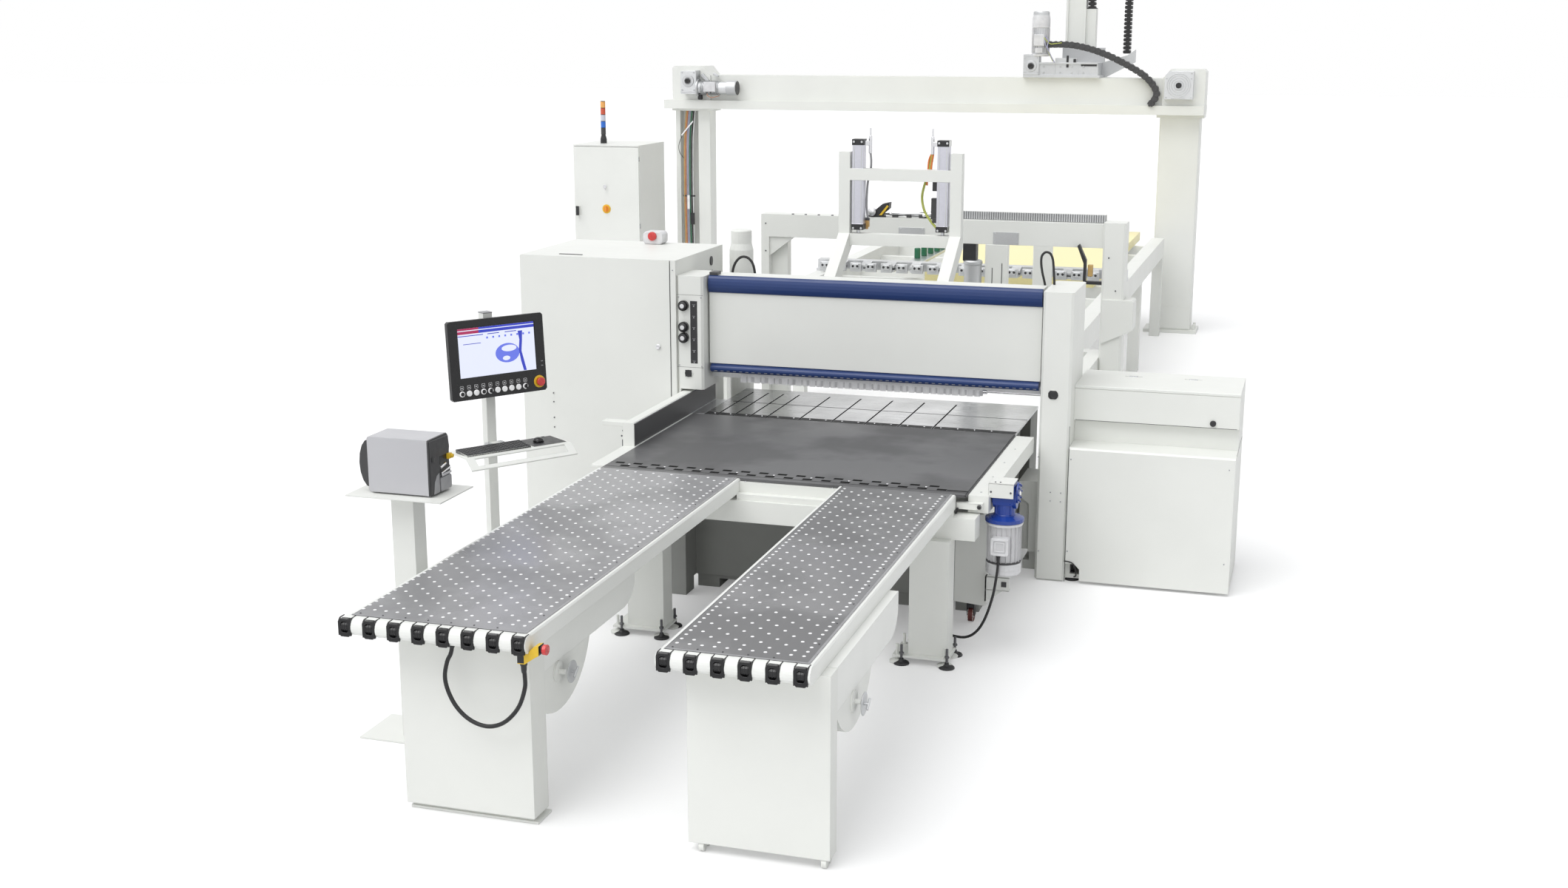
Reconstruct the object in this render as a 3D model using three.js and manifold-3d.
// Beam saw cell: a cross-cut beam saw with two air tables in front, its operator
// stations and cabinets, the rear transfer frame and table, and a loading gantry.
// Units are millimetres, +Z is up, +Y is the feed direction away from the operator.
// Places below are measured from the left table's front left corner on the floor.
import * as THREE from "three";
import { mergeVertices } from "three/addons/utils/BufferGeometryUtils.js";
import Module from "manifold-3d";

const wasm = await Module();
wasm.setup();

// General values
const seat = 0.3; // clearance between pieces that rest on each other
const overrun = 2; // how far a cutter runs past a face
const sides = { fine: 24, round: 16, small: 10 };
const floor = 0;

// How far a piece stands from the one that it is placed by
const away = {
  sawFront: 4, sawTableBack: 948, sawTableKerfY: 468, sawTableSlotBack: 360, supportFront: 91,
  supportRight: 155, footColumnFront: 60, footColumnLeftX: 221, footColumnRightX: 215, sideBeamX0: 11,
  fenceFront: 579, fenceShelfFront: 10, fenceBack: 40, baseFront: 800, baseBack: 988, baseX1: 3,
  baseChannelFront: 248, baseChannelBack: 440, rightPostX0: 31, endPanelFront: 178, liftY: 788,
  liftFootY: 288, coverX0: 12, coverFront: 100, coverX1: 18, tubeY: 10, beamFront: 78, beamBack: 528,
  curtainY: 56, cabinetFront: 12, cabinetBack: 988, cabinetX1: 46, housingFront: 7,
  housingUpperFront: 188, housingBack: 590, gearboxX: 75, gearboxY: 130, stopX: 37, deskY: 51,
  portalY: 1140, portalX0: 52, portalX1: 156, rearX0: 784, rearX1: 89, rearY0: 900, rearNearX: 45,
  ductX: 130, ductY: 55,
  clampBarY: 3300, gantryFront: 100, gantryX0: 4038, gantryX1: 36, gantryLeftX0: 111, gantryLeftY: 80,
  gantryRightX1: 45, gantryRightY: 110, idlerX: 470, idlerZ: 188, electricsFront: 747, electricsX0: 994,
  electricsSwitchX: 448, towerX: 282, towerY: 347, mastY: 440,
};

// Air tables. Each record is one table.
const tableTop = 1000;
const table = {
  plate: 30,
  railFlat: 14,
  railFall: 9,
  railBottom: 915,
  lip: 2,
  noseReach: 60,
  noseRound: 34,
  noseFacets: 4,
  plateBevel: 6,
  length: 2951,
  gap: 658,
};
const leftTable = {
  x0: 0, width: 887, rail: 20, rollers: 8, legIn: 167, legY: 128, legBase: 33, legDepth: 157,
};
leftTable.x1 = leftTable.x0 + leftTable.width;
leftTable.legX = leftTable.x0 + leftTable.legIn;
leftTable.rollerIn = -5;
leftTable.drum = { y: 455, z: 850, radius: 388 };
const rightTable = { width: 666, rail: 20, rollers: 6, legIn: 66, legY: 99, legBase: 46, legDepth: 106 };
rightTable.x0 = leftTable.x1 + table.gap;
rightTable.x1 = rightTable.x0 + rightTable.width;
rightTable.legX = rightTable.x0 + rightTable.legIn;
rightTable.rollerIn = 17;
rightTable.drum = { y: 500, z: 887, radius: 360 };
const plenum = { bottom: 712, length: 1135, endDrop: 130, endRun: 150, facets: 5 };
const roller = {
  pitch: 125, y: -32, z: 958, radius: 30, width: 44, pocket: 52, bevel: 6, shaft: 7, running: 1, end: 4,
};
const leg = {
  width: 667, foot: 12, footReach: 10, casterRadius: 26, casterWidth: 24, casterInset: 60, fork: 26,
};
const drum = { thick: 60, inset: 1, hubRadius: 50, hubReach: 10, handle: 12, handleReach: 40 };

// Apron and saw table
const apron = { x0: 0, side: 72, front: table.length, depth: 1657, thick: 16 };
apron.x1 = rightTable.x1 + apron.side;
apron.back = apron.front + apron.depth;
table.back = apron.front - seat;
const comb = { pitch: 118, first: 35, length: 58, width: 9, depth: 7, near: 85, far: 150, count: 18 };

// Everything of the saw stands behind this line
const sawFront = apron.back + away.sawFront;
const sawTable = {
  back: sawFront + away.sawTableBack, side: 7, slotWidth: 12, slotDepth: 9, wide: 237, narrow: 120,
  firstWide: 534,
};
sawTable.x1 = apron.x1 + sawTable.side;
sawTable.wideCount = 6;
sawTable.narrowCount = 3;
sawTable.kerf = 14;
sawTable.kerfY = sawFront + away.sawTableKerfY;
sawTable.slotBack = sawTable.kerfY + away.sawTableSlotBack;

// Support frame under the table ends
const support = {
  front: apron.front - away.supportFront, depth: 140, bottom: 752, top: 885, left: 60, plateTop: 920,
  plateIn: 20,
};
support.back = support.front + support.depth;
support.right = rightTable.x1 + away.supportRight;
support.angleTop = 982;
support.angle = 20;
const footColumn = {
  width: 235, depth: 150, front: support.front - away.footColumnFront, plateZ: 38, plate: 14,
};
footColumn.plateReach = 42;
footColumn.plateLeft = 85;
footColumn.plateRight = 14;
footColumn.leftX = leftTable.x0 + away.footColumnLeftX;
footColumn.rightX = rightTable.x1 - away.footColumnRightX;
const footPad = { radius: 46, thick: 12, stem: 9, stemRise: 62, neck: 22, inset: 24 };

// Frame beams beside the apron
const sideBeam = { x0: apron.x1 + away.sideBeamX0, width: 121, bottom: 887, top: 990, wall: 8 };
sideBeam.x1 = sideBeam.x0 + sideBeam.width;
sideBeam.tab = { end: 29, z: 912, height: 40, depth: 36, knob: 12 };
sideBeam.lugWidth = 46;
sideBeam.lugPitch = 780;
// The white box that hangs under the beam, with its castor
const sideBox = {
  left: 171, right: 33, frontY: 499, depth: 280, bottom: 154, top: 740, castor: 48, castorWidth: 34,
};
sideBox.x0 = sideBeam.x0 - sideBox.left;
sideBox.x1 = sideBeam.x0 + sideBox.right;
sideBox.front = support.back + sideBox.frontY;
sideBox.back = sideBox.front + sideBox.depth;
sideBox.fork = 14;
const fence = {
  x0: -92, x1: -12, front: apron.front + away.fenceFront, top: 1155,
  shelfFront: support.back - away.fenceShelfFront, bevel: 10,
};
fence.back = sawTable.kerfY + away.fenceBack;

// Machine base with the channel that the saw carriage runs in
const base = {
  x0: 250, front: support.back + away.baseFront, back: sawFront + away.baseBack, foot: 90, wall: 24,
  shoe: 60,
};
base.x1 = apron.x1 - away.baseX1;
base.channelFront = sawFront + away.baseChannelFront;
base.channelBack = base.channelFront + away.baseChannelBack;
base.channelFloor = 330;
base.leg = { x: 152, width: 155, depth: 150, out: 200, top: 700 };
base.pocket = { x: 462, width: 132, height: 62, depth: 300 };

// Posts at both ends of the pressure beam
const leftPost = { x0: -116, x1: 80, front: sawFront, depth: 330, top: 1958, plinth: 12, plugX: 84 };
const rightPost = {
  x0: sideBeam.x1 + away.rightPostX0, width: 203, front: sawFront, depth: 560, top: 1955, plinth: 12,
  plugX: 86,
};
rightPost.x1 = rightPost.x0 + rightPost.width;
// The panel that closes the base's end, beside the right post
const endPanel = {
  x: sideBeam.x0, front: sawFront + away.endPanelFront, depth: 360, bottom: 142, top: 640, stepX: 74,
  stepZ: 530,
};
endPanel.slope = 50;
endPanel.recess = 60;
endPanel.foot = 62;
const post = { capRise: 22, bevel: 16, plug: 34, plugZ: 1284, plugProud: 4 };
const knob = { x: -60, z: [1764, 1614, 1538], radius: 30, reach: 44, shaft: 9, skirt: 36, skirtReach: 12 };

// Lift frame on the top bridge, behind the cover
const lift = {
  y: sawFront + away.liftY, size: 82, xLeft: 835, xRight: 1645, top: 2790, barTop: 2675,
  barBottom: 2592,
};
lift.lowTop = 2214;
lift.lowBottom = 2130;
lift.footY = sawFront + away.liftFootY;
lift.footZ = 1785;

// Cover, blue band, pressure beam and curtain
const cover = {
  x0: leftPost.x1 + away.coverX0, front: sawFront + away.coverFront, bottom: 1348, top: 1849,
  depth: 186, wall: 20,
};
cover.x1 = rightPost.x0 - away.coverX1;
cover.capTop = 1968;
cover.bandBulge = 26;
cover.bandFacets = 8;
cover.bridge = 85;
cover.bridgeDepth = 90;
const tube = { radius: 28, y: cover.front + away.tubeY, z: 1311, inset: 8, rib: 6 };
const beam = {
  front: cover.front + away.beamFront, back: cover.front + away.beamBack, bottom: 1236, top: 1350,
  shoe: 90, shoeGap: 34,
};
beam.webTop = 1700;
beam.web = 60;
const curtain = {
  x0: 300, x1: 2022, y: cover.front + away.curtainY, top: 1274, railHeight: 22, thick: 10, strips: 34,
  drop: 66,
};
curtain.gap = 8;
curtain.stripThick = 4;

// Cabinet at the left that the carriage parks in, with a door
const cabinet = {
  width: 1138, front: sawFront - away.cabinetFront, back: sawFront + away.cabinetBack, top: 2075,
  wall: 30, door: 24, doorGap: 6,
};
cabinet.x1 = leftPost.x0 - away.cabinetX1;
cabinet.x0 = cabinet.x1 - cabinet.width;
cabinet.shellX1 = leftPost.x0 - seat;
cabinet.bottom = 70;
cabinet.lockIn = 90;
cabinet.lockZ = 1464;
cabinet.lock = 15;
const extraction = {
  x: leftPost.x0 + away.ductX, y: cabinet.back + away.ductY, radius: 90, neck: 78, shoulder: 2037,
  neckFrom: 2084, top: 2184, bevel: 8,
};
extraction.branchIn = 150;
extraction.branchDepth = 50;
extraction.branchLow = 400;
extraction.branchTop = 560;

// Housing at the right with a lid over the blade
const housing = {
  x0: rightPost.x1 + seat, width: 1079, front: sawFront - away.housingFront,
  upperFront: sawFront + away.housingUpperFront, wall: 30,
};
housing.x1 = housing.x0 + housing.width;
housing.back = housing.upperFront + away.housingBack;
housing.shelf = 935;
housing.shelfRound = 12;
housing.recessTop = 1085;
housing.recessDepth = 50;
housing.top = 1322;
housing.bottom = 19;
housing.cutWidth = 100;
housing.cutHeight = 115;
housing.cutBevel = 34;
housing.slotWidth = 118;
housing.slotDepth = 14;
const lid = { thick: 22, slotIn: [343, 742], slotBack: 175, bevel: 4 };

// Saw carriage, lifting unit and blades
const carriage = {
  x: 760, length: 620, height: 100, bottom: 370, wheel: 36, wheelWidth: 26, guideTop: 700,
};
const blade = { radius: 190, thick: 5, teeth: 48, tooth: 9, bore: 18, z: 690, hub: 46, hubReach: 20 };
const scorer = { radius: 62, thick: 5, teeth: 20, tooth: 5, bore: 12, z: 711, ahead: 330, hub: 24 };
const unit = { thick: 34, width: 520, top: 745, running: 1 };
// How far along its pitch and how deep each point of a tooth lies
const toothShares = [[0, 1], [0.55, 0.35], [0.8, 0]];

// Worm gearbox and motor at the right of the frame
const gearbox = {
  x: sideBeam.x1 + away.gearboxX, y: support.back + away.gearboxY, top: 1055, bottom: 820, body: 130,
  wormRadius: 66,
};
gearbox.flange = 115;
gearbox.flangeThick = 20;
gearbox.neckRadius = 62;
gearbox.sideRadius = 62;
gearbox.sideReach = 8;
gearbox.lug = 30;
gearbox.bevel = 15;
const motor = {
  radius: 103, fin: 8, finThick: 4, fins: 20, length: 250, cowl: 70, box: 104, boxDepth: 46,
  cowlRadius: 105,
};
motor.cableIn = 10;
motor.cableDrop = 44;

// Emergency stop at the table corner
const stop = {
  x: leftTable.x1 - away.stopX, y: 0, z: 862, box: 56, stem: 9, reach: 8, cap: 24, capReach: 22,
  bevel: 4, running: 0.5,
};
stop.stemIn = 12;
stop.boreIn = 18;
stop.width = 107;
stop.wide = 84;
stop.narrow = 60;
stop.step = 36;
stop.mouthLow = 48;
stop.mouthHigh = 92;
stop.cornerLow = 34;
stop.cornerHigh = 88;
stop.neck = 64;
const conduit = { radius: 10, sides: 8, steps: 44, in: 18 };
const cable = { radius: 8, sides: 8, steps: 40 };

// Console with monitor and keyboard tray, turned to the operator
const desk = {
  x: -651, y: apron.front - away.deskY, turn: 0.958, lean: 0.073, footSize: 460, footThick: 10,
};
const pole = { size: 62, behind: 145, top: 1925, armWidth: 90, pivot: 20 };
const screen = {
  width: 660, height: 489, depth: 62, bezel: 12, recess: 3, centre: 1668, keys: 10, keyRadius: 15,
};
screen.glassShare = 0.8;
screen.glassTopShare = 0.1;
screen.glassHeightShare = 0.62;
screen.keyLiftShare = 0.085;
screen.stopShare = 0.42;
screen.stopLiftShare = 0.12;
screen.keySpanShare = 0.74;
screen.keySideShare = 0.065;
screen.middleShare = 0.5;
const tray = {
  z: 1117, width: 735, back: 14, depth: 235, thick: 5, lipOut: 75, lipDrop: 60, lipBar: 24,
  slotInset: 55,
};
tray.railRadius = 6;
tray.board = 22;
tray.boardX = 24;
tray.boardWidth = 440;
tray.boardDepth = 150;
tray.boardInset = 30;
tray.mat = 3;
tray.arm = 25;

// Label printer on its stand
const stand = {
  x0: -498, x1: -105, y0: 820, y1: 1154, foot: 8, columnX: -286, columnY: 900, column: 126,
  columnDepth: 120,
};
stand.trayZ = 1335;
stand.trayX = -481;
stand.trayY = 785;
stand.trayWidth = 540;
stand.trayDepth = 356;
stand.trayThick = 6;
const printer = {
  x0: -384, width: 349, height: 287, y: 860, depth: 200, round: 16, bulge: 60, slotDepth: 22, foot: 8,
};
printer.latch = 14;
printer.backFacets = 8;
printer.slotLowShare = 0.25;
printer.slotHighShare = 0.34;
printer.latchLowShare = 0.6;
printer.latchHighShare = 0.68;

// Transfer frame behind the saw
const portal = {
  y: sawTable.back + away.portalY, depth: 150, beamBottom: 2014, beamTop: 2195, leg: 66,
  rightWidth: 170,
};
portal.x0 = leftPost.x0 - away.portalX0;
portal.x1 = sideBeam.x1 + away.portalX1;
portal.rightTop = 2212;
portal.web = 140;
portal.webIn = 60;
portal.gusset = 157;
portal.gussetReach = 207;
portal.bracketTop = 1630;
portal.bracketBottom = 1372;
portal.bracketReach = 80;
portal.duct = 62;
portal.ductX = 1438;
portal.ductDepth = 60;
portal.foot = 14;
portal.footReach = 60;
const cylinder = { width: 80, offset: 98, top: 2840, bottom: 2280, cap: 40, rod: 13, capWidth: 86 };

// Rear table with side beams and rollers
const rear = {
  x0: leftPost.x0 - away.rearX0, x1: rightTable.x1 + away.rearX1, y0: portal.y + away.rearY0,
  length: 7300, beam: 150, top: 1180,
};
rear.y1 = rear.y0 + rear.length;
rear.height = 220;
rear.legs = 4;
rear.leg = 120;
rear.crossbars = 9;
rear.nearX = sideBeam.x1 + away.rearNearX;
rear.crossHeight = 120;
rear.crossWidth = 90;
rear.stackX = 1100;
rear.stackWidth = 1750;
rear.stackY = 3500;
rear.stackLength = 4400;
const clampBar = {
  y: rear.y0 + away.clampBarY, depth: 130, height: 90, bottom: 1205, pitch: 260, count: 11, jaw: 96,
};
clampBar.jawReach = 120;
clampBar.jawHeight = 62;
clampBar.jawRoot = 40;
clampBar.jawLow = 21;
clampBar.jawHigh = 43;
clampBar.jawBack = 87;
clampBar.runner = 60;

// Gantry
const gantry = {
  front: rear.y1 + away.gantryFront, depth: 420, bottom: 2640, flangeTop: 2750, top: 3068, endTop: 3178,
};
gantry.x0 = leftPost.x0 - away.gantryX0;
gantry.x1 = rightPost.x1 + away.gantryX1;
gantry.flangeReach = 60;
gantry.leftEnd = 520;
gantry.rightEnd = 500;
gantry.endBevel = 90;
gantry.endRound = 30;
gantry.leftIn = 108;
gantry.rightIn = 10;
gantry.endProud = 20;
const gantryLeft = {
  x0: gantry.x0 + away.gantryLeftX0, width: 470, y: gantry.front + away.gantryLeftY, depth: 230,
  wall: 60, slot: 250, plate: 30,
};
gantryLeft.x1 = gantryLeft.x0 + gantryLeft.width;
gantryLeft.plateReach = 70;
const gantryRight = {
  x1: gantry.x1 - away.gantryRightX1, width: 480, y: gantry.front + away.gantryRightY, depth: 300,
  plate: 38, plateReach: 80,
};
gantryRight.x0 = gantryRight.x1 - gantryRight.width;
gantryRight.clad = 8;
gantryRight.cladLeft = 91;
gantryRight.cladRight = 3;
gantryRight.cladLow = 50;
gantryRight.cladTop = 325;
gantryRight.bevel = 14;
gantryRight.stud = 18;
const drive = {
  boxIn: 274, boxZ: 2830, box: 205, boxTall: 287, boxDepth: 150, motorRadius: 78, motorLength: 540,
};
drive.boxX = gantry.x0 + drive.boxIn;
drive.bevel = 10;
const idler = {
  x: gantry.x1 - away.idlerX, z: gantry.bottom + away.idlerZ, width: 335, height: 325, depth: 90,
  hub: 34, corner: 80,
};

// Electrical cabinet
const electrics = {
  width: 904, front: gantry.front - away.electricsFront, depth: 901, top: 2200, plinth: 100, wall: 40,
  door: 26,
};
electrics.x0 = gantry.x0 - away.electricsX0;
electrics.x1 = electrics.x0 + electrics.width;
electrics.back = electrics.front + electrics.depth;
electrics.roof = 14;
electrics.doorGap = 6;
electrics.handleZ = 1420;
electrics.handleTall = 120;
electrics.switchZ = 1390;
electrics.switchX = electrics.x0 + away.electricsSwitchX;
const mainSwitch = { radius: 42, skirt: 12, grip: 18, gripWidth: 22 };
const tower = {
  x: electrics.x0 + away.towerX, y: electrics.front + away.towerY, foot: 42, footHeight: 110,
  radius: 32, segment: 84,
};
tower.segments = 5;
tower.neck = 5;
tower.neckHeight = 8;

// Trolley and mast
const trolley = {
  x0: 516, x1: 1440, base: 30, height: 250, box: 190, boxDepth: 170, motorRadius: 98, motorTop: 3850,
};
trolley.housing = 175;
trolley.plateTall = 350;
trolley.bracketReach = 370;
trolley.bracketLow = 180;
trolley.bracketHigh = 264;
trolley.bracketRise = 330;
trolley.bracketEnd = 96;
trolley.plate = 24;
const mast = {
  x0: 945, x1: 1185, y: gantry.front + away.mastY, depth: 180, bottom: 2660, top: 4480, duct: 118,
  ductTop: 3880,
};
mast.rail = 26;
mast.foot = 320;
mast.footThick = 30;
mast.railProud = 18;
const chain = { width: 80, height: 70, links: 30, joint: 8, startRise: 390 };
// Where the chain's run passes, along and up
const chainShares = [[0, 1], [0.22, 0.99], [0.45, 0.88], [0.68, 0.68], [0.87, 0.45], [0.955, 0.2], [0.9, 0]];

// Solids

const group = new THREE.Group();

function solidOf(geometry) {
  const bare = geometry.index ? geometry.toNonIndexed() : geometry.clone();
  bare.deleteAttribute("normal");
  bare.deleteAttribute("uv");
  const merged = mergeVertices(bare, 1e-4);
  const mesh = new wasm.Mesh({
    numProp: 3,
    vertProperties: new Float32Array(merged.attributes.position.array),
    triVerts: new Uint32Array(merged.index.array),
  });
  return new wasm.Manifold(mesh);
}

function geometryOf(solid) {
  const mesh = solid.getMesh();
  const geometry = new THREE.BufferGeometry();
  const corners = new Float32Array(mesh.numVert * 3);
  for (let i = 0; i < mesh.numVert; i += 1) {
    for (let k = 0; k < 3; k += 1) {
      corners[3 * i + k] = mesh.vertProperties[mesh.numProp * i + k];
    }
  }
  geometry.setAttribute("position", new THREE.BufferAttribute(corners, 3));
  geometry.setIndex(new THREE.BufferAttribute(new Uint32Array(mesh.triVerts), 1));
  geometry.computeVertexNormals();
  return geometry;
}

const join = (first, ...rest) => rest.reduce((all, next) => all.add(next), first);
const cut = (first, ...rest) => rest.reduce((all, next) => all.subtract(next), first);

function block(x0, x1, y0, y1, z0, z1) {
  const box = new THREE.BoxGeometry(x1 - x0, y1 - y0, z1 - z0);
  box.translate((x0 + x1) / 2, (y0 + y1) / 2, (z0 + z1) / 2);
  return solidOf(box);
}

// Which way an outline's first and second values and its depth run
const frames = {
  x: new THREE.Matrix4().set(0, 0, 1, 0, 1, 0, 0, 0, 0, 1, 0, 0, 0, 0, 0, 1),
  y: new THREE.Matrix4().set(1, 0, 0, 0, 0, 0, -1, 0, 0, 1, 0, 0, 0, 0, 0, 1),
  z: new THREE.Matrix4(),
};

// An outline of [a, b] points carried along an axis from one place to another.
// The pairs are (y, z) along x, (x, z) along y and (x, y) along z.
function prism(axis, outline, from, to) {
  const shape = new THREE.Shape(outline.map(([a, b]) => new THREE.Vector2(a, b)));
  const body = new THREE.ExtrudeGeometry(shape, { depth: to - from, bevelEnabled: false });
  body.applyMatrix4(frames[axis]);
  const shift = new THREE.Vector3();
  shift[axis] = axis === "y" ? to : from;
  body.translate(shift.x, shift.y, shift.z);
  return solidOf(body);
}

// A profile of [radius, height] points turned about an axis through a centre
function turned(axis, profile, centre, facets) {
  const points = profile.map(([r, h]) => new THREE.Vector2(r, h));
  const body = new THREE.LatheGeometry(points, facets);
  if (axis === "x") {
    body.rotateZ(-Math.PI / 2);
  }
  if (axis === "z") {
    body.rotateX(Math.PI / 2);
  }
  body.translate(centre[0], centre[1], centre[2]);
  return solidOf(body);
}

// A round bar from a start to an end height along an axis
function bar(axis, radius, from, to, centre, facets) {
  return turned(axis, [[0, from], [radius, from], [radius, to], [0, to]], centre, facets);
}

// A bar with bevelled ends
function barrel(axis, radius, bevel, from, to, centre, facets) {
  const profile = [[0, from], [radius - bevel, from], [radius, from + bevel], [radius, to - bevel]];
  profile.push([radius - bevel, to], [0, to]);
  return turned(axis, profile, centre, facets);
}

// Points of an arc about a centre, both ends counted
function arc(cx, cy, rx, ry, start, end, steps) {
  const points = [];
  for (let i = 0; i <= steps; i += 1) {
    const angle = start + ((end - start) * i) / steps;
    points.push([cx + rx * Math.cos(angle), cy + ry * Math.sin(angle)]);
  }
  return points;
}

// A rectangle with bevelled corners
function bevelled(a0, a1, b0, b1, bevel) {
  return [
    [a0 + bevel, b0], [a1 - bevel, b0], [a1, b0 + bevel], [a1, b1 - bevel],
    [a1 - bevel, b1], [a0 + bevel, b1], [a0, b1 - bevel], [a0, b0 + bevel],
  ];
}

function place(name, solid, material) {
  const mesh = new THREE.Mesh(geometryOf(solid), material);
  mesh.name = name;
  group.add(mesh);
  return mesh;
}

const finish = (colour, roughness, metalness) => () =>
  new THREE.MeshStandardMaterial({ color: colour, roughness, metalness });
const whitePaint = finish(0xdedfda, 0.45, 0);
const darkTop = finish(0x5d5e62, 0.4, 0.1);
const darkPaint = finish(0x53544f, 0.6, 0);
const steel = finish(0xb9bbbf, 0.3, 1);
const aluminium = finish(0xc4c6c8, 0.4, 0.9);
const bluePaint = finish(0x1f3366, 0.3, 0.1);
const gearBlue = finish(0x1f4fa8, 0.4, 0.1);
const blackPlastic = finish(0x1c1c1e, 0.4, 0);
const yellowPlastic = finish(0xe0b01c, 0.5, 0);
const redPlastic = finish(0xc8262a, 0.4, 0);
const greyPlastic = finish(0xc2c3c6, 0.5, 0);
const clearPlastic = finish(0xe8eaee, 0.25, 0);

// Air tables

function rollerPlaces(t) {
  return Array.from({ length: t.rollers }, (_, i) => t.x0 + t.rollerIn + roller.pitch * i);
}

function tableFrame(t) {
  const outerLeft = t.x0 - t.rail;
  const outerRight = t.x1 + t.rail;
  const railTop = tableTop - table.lip;
  const shoulder = railTop - table.railFall;
  const under = tableTop - table.plate - seat;
  const section = [
    [outerLeft, table.railBottom], [outerRight, table.railBottom], [outerRight, shoulder],
    [t.x1 + table.railFlat, railTop], [t.x1 + seat, railTop], [t.x1 + seat, under],
    [t.x0 - seat, under], [t.x0 - seat, railTop], [t.x0 - table.railFlat, railTop], [outerLeft, shoulder],
  ];
  const body = prism("y", section, floor, table.back);
  const round = table.noseRound;
  const noseFront = -table.noseReach;
  const upper = arc(
    noseFront + round, railTop - round, round, round, Math.PI, Math.PI / 2, table.noseFacets,
  );
  const low = table.railBottom;
  const lower = arc(noseFront + round, low + round, round, round, -Math.PI / 2, -Math.PI, table.noseFacets);
  const noseLine = [[overrun, low], ...lower, ...upper, [overrun, railTop]];
  noseLine.splice(-1, 1, [-seat, railTop], [-seat, under], [overrun, under]);
  const frame = join(body, prism("x", noseLine, outerLeft, outerRight), plenumBox(t));
  return cut(frame, rollerPockets(t));
}

// The air box under the table, with a rounded rear end
function plenumBox(t) {
  const legBack = t.legY + t.legDepth + seat;
  const endY = legBack + plenum.length;
  const line = [[legBack, table.railBottom + overrun], [legBack, plenum.bottom]];
  const centreY = endY - plenum.endRun;
  const centreZ = plenum.bottom + plenum.endDrop;
  const curve = arc(centreY, centreZ, plenum.endRun, plenum.endDrop, -Math.PI / 2, 0, plenum.facets);
  line.push(...curve, [endY, table.railBottom + overrun]);
  return prism("x", line, t.legX, t.legX + leg.width);
}

// The room in the nose that the edge rollers turn in
function rollerPockets(t) {
  const front = -table.noseReach - overrun;
  const half = roller.pocket / 2;
  const reach = roller.radius + roller.running + seat;
  const places = rollerPlaces(t);
  const first = places[0] - roller.width / 2 - roller.end;
  const last = places[places.length - 1] + roller.width / 2 + roller.end;
  const bore = roller.shaft + roller.running;
  let room = bar("x", bore, first - overrun, last + overrun, [0, roller.y, roller.z], sides.small);
  for (const x of places) {
    const pocket = bar("x", reach, -half, half, [x, roller.y, roller.z], sides.round);
    const mouth = block(x - half, x + half, front, roller.y, roller.z - reach, tableTop + overrun);
    room = join(room, pocket, mouth);
  }
  return room;
}

function tablePlate(t) {
  const bevel = table.plateBevel;
  const low = tableTop - table.plate;
  const section = [
    [t.x0, low], [t.x1, low], [t.x1, tableTop - bevel], [t.x1 - bevel, tableTop],
    [t.x0 + bevel, tableTop], [t.x0, tableTop - bevel],
  ];
  return prism("y", section, floor, table.back);
}

function edgeRollers(t) {
  const places = rollerPlaces(t);
  const last = places[places.length - 1] + roller.width / 2 + roller.end;
  const first = places[0] - roller.width / 2 - roller.end;
  let solid = bar("x", roller.shaft, first, last, [0, roller.y, roller.z], sides.small);
  for (const x of places) {
    const half = roller.width / 2;
    solid = join(
      solid,
      barrel("x", roller.radius, roller.bevel, -half, half, [x, roller.y, roller.z], sides.round),
    );
  }
  return solid;
}

function legPanel(t, onCasters) {
  const top = table.railBottom - seat;
  const panel = block(t.legX, t.legX + leg.width, t.legY, t.legY + t.legDepth, t.legBase, top);
  if (!onCasters) {
    const out = leg.footReach;
    const x1 = t.legX + leg.width;
    const y1 = t.legY + t.legDepth;
    const plate = block(t.legX + out, x1 + out, t.legY + 2 * out, y1 + out, floor, leg.foot);
    const foot = block(
      t.legX + 2 * out, x1 - 2 * out, t.legY + 3 * out, y1 - out, floor, t.legBase + overrun,
    );
    return join(panel, plate, foot);
  }
  let solid = panel;
  const fork = leg.fork / 2;
  for (const x of [t.legX + leg.casterInset, t.legX + leg.width - leg.casterInset / 2]) {
    for (const y of [t.legY + leg.casterRadius, t.legY + t.legDepth - leg.casterRadius]) {
      const half = leg.casterWidth / 2;
      const wheel = bar("x", leg.casterRadius, -half, half, [x, y, leg.casterRadius], sides.round);
      const stem = block(x - fork, x + fork, y - fork, y + fork, leg.casterRadius, t.legBase + overrun);
      solid = join(solid, wheel, stem);
    }
  }
  return solid;
}

function blowerDrum(t) {
  const { y, z, radius } = t.drum;
  const outer = t.legX + leg.width - drum.inset;
  const inner = outer - 2 * drum.thick;
  const legBack = t.legY + t.legDepth + seat;
  const front = y - radius - overrun;
  const ring = bar("x", radius, -drum.thick, 0, [outer, y, z], sides.fine * 2);
  const high = z + radius + overrun;
  const above = block(inner, outer + overrun, front, y + radius + overrun, plenum.bottom - seat, high);
  const before = block(inner, outer + overrun, front, legBack, floor, high);
  const hubZ = plenum.bottom - drum.hubRadius - seat;
  const hubY = y - drum.hubRadius / 2;
  const hub = bar("x", drum.hubRadius, -drum.thick / 2, drum.hubReach, [outer, hubY, hubZ], sides.round);
  const grip = bar("x", drum.handle, 0, drum.handleReach, [outer, hubY, hubZ], sides.small);
  return join(cut(ring, above, before), hub, grip);
}

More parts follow.
